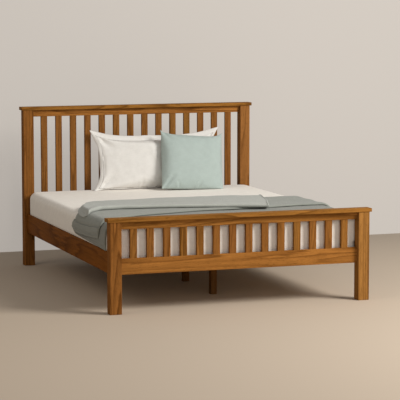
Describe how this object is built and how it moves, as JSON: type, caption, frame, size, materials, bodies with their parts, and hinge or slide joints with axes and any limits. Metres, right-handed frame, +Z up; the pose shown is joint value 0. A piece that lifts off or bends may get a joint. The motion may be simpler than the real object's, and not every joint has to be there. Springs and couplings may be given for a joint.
{
  "type": "slatted bed",
  "caption": "Wooden bed with a tall slatted head end, a low slatted foot end and flat caps over square posts, made up with a mattress, a flanged pillow, a square cushion and a folded throw.",
  "frame": {"origin": "on the floor under the middle of the bed", "axes": "+Y from the foot end to the head end, +X to the right seen from the foot end, +Z up"},
  "size_m": [1.676, 2.137, 1.091],
  "materials": {
    "oak": "golden brown lacquered oak with open grain",
    "pine": "planed plain softwood",
    "steel": "zinc-plated steel",
    "webbing": "woven tape",
    "cream_sheet": "cream fitted cotton sheet",
    "white_cotton": "white cotton pillowcase",
    "sage_cotton": "sage green cotton",
    "throw_cotton": "grey-green quilted cotton"
  },
  "bodies": {
    "frame": {"head_post_left": "oak", "head_post_right": "oak", "foot_post_left": "oak", "foot_post_right": "oak", "head_cap": "oak", "foot_cap": "oak", "head_top_rail": "oak", "head_bottom_rail": "oak", "foot_top_rail": "oak", "foot_bottom_rail": "oak", "side_rail_left": "oak", "side_rail_right": "oak", "centre_leg_1": "oak", "centre_leg_2": "oak", "centre_leg_3": "oak", "head_slat_01": "oak", "head_slat_02": "oak", "head_slat_03": "oak", "head_slat_04": "oak", "head_slat_05": "oak", "head_slat_06": "oak", "head_slat_07": "oak", "head_slat_08": "oak", "head_slat_09": "oak", "head_slat_10": "oak", "head_slat_11": "oak", "head_slat_12": "oak", "head_slat_13": "oak", "head_slat_14": "oak", "foot_slat_01": "oak", "foot_slat_02": "oak", "foot_slat_03": "oak", "foot_slat_04": "oak", "foot_slat_05": "oak", "foot_slat_06": "oak", "foot_slat_07": "oak", "foot_slat_08": "oak", "foot_slat_09": "oak", "foot_slat_10": "oak", "foot_slat_11": "oak", "foot_slat_12": "oak", "foot_slat_13": "oak", "foot_slat_14": "oak", "ledger_left": "pine", "ledger_right": "pine", "centre_rail": "pine", "base_slats": "pine", "corner_brackets": "steel", "centre_rail_hangers": "steel", "bed_bolts": "steel", "slat_webbing": "webbing"},
    "mattress": {"mattress": "cream_sheet"},
    "pillow": {"pillow": "white_cotton"},
    "cushion": {"cushion": "sage_cotton"},
    "throw": {"throw": "throw_cotton"}
  },
  "joints": [
    {"name": "mattress_lift", "type": "slide", "parent": "frame", "child": "mattress", "axis": [0, 0, 1], "range_m": [0, 0.1]},
    {"name": "throw_lift", "type": "slide", "parent": "mattress", "child": "throw", "axis": [0, 0, 1], "range_m": [0, 0.3]},
    {"name": "pillow_lift", "type": "slide", "parent": "mattress", "child": "pillow", "axis": [0, -0.7071, 0.7071], "range_m": [0, 0.25]},
    {"name": "cushion_lift", "type": "slide", "parent": "pillow", "child": "cushion", "axis": [0, -0.7071, 0.7071], "range_m": [0, 0.3]}
  ]
}
